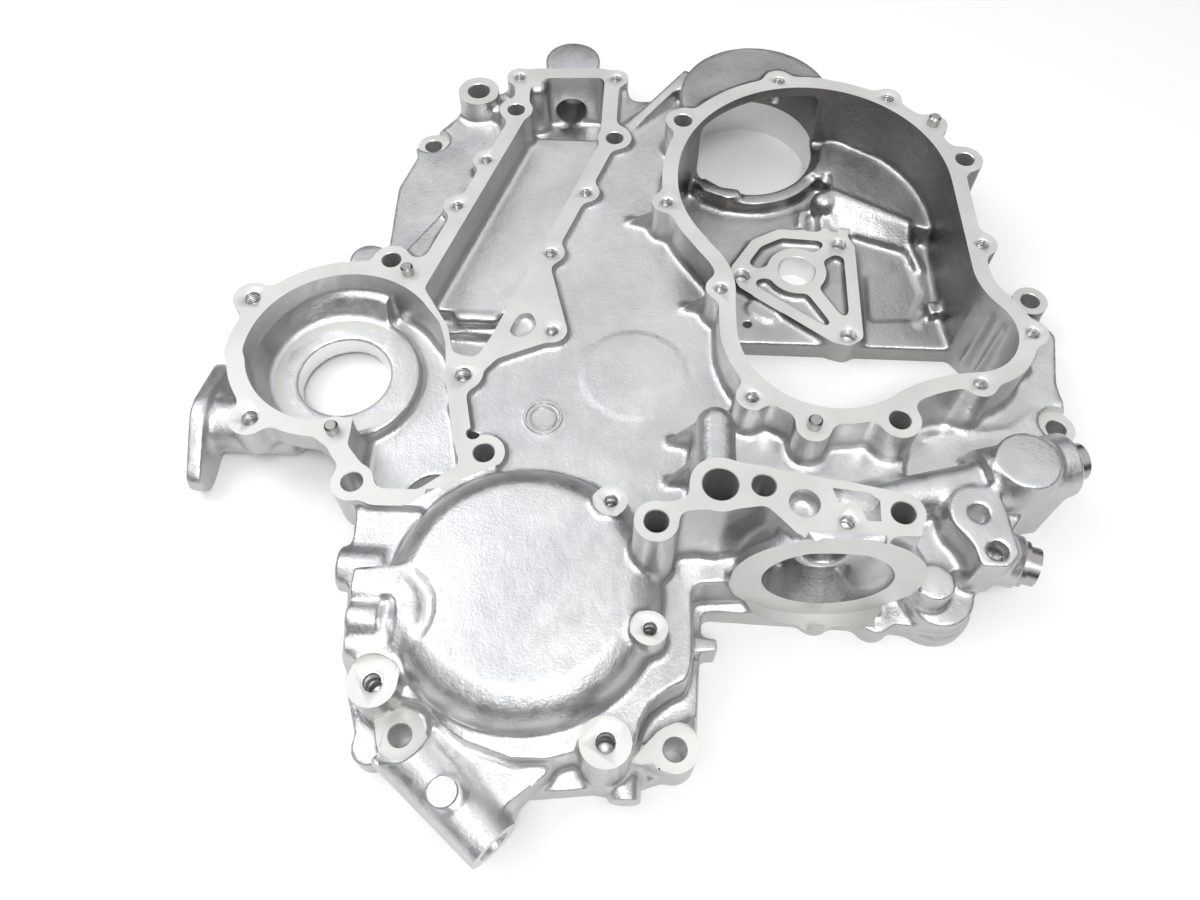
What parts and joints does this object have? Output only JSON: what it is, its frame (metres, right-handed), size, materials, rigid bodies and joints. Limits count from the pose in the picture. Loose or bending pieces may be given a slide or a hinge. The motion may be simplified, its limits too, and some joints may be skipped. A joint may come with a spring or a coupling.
{
  "type": "engine gear case",
  "caption": "Die-cast timing gear case with a gear window, coolant pump bowl and trough, oil pump dome, oil cooler pad and oil filter seat.",
  "frame": {"origin": "on the axis of the idler bore, in the plane of the rear joint face", "axes": "+Z out of the rear joint face towards the front of the engine; +Y from the oil pump dome towards the injection pump boss; +X from the coolant pump bowl towards the gear window"},
  "size_m": [0.401, 0.4382, 0.0784],
  "materials": {
    "cast_aluminium": "as die-cast skin, bright machined joint faces",
    "hardened_steel": "ground",
    "zinc_plated_steel": "zinc plated",
    "aluminium_washer": "turned"
  },
  "bodies": {
    "root": {"gear_case": "cast_aluminium", "dowel_pins": "hardened_steel", "gallery_plugs": "zinc_plated_steel", "plug_washers": "aluminium_washer"}
  },
  "joints": []
}
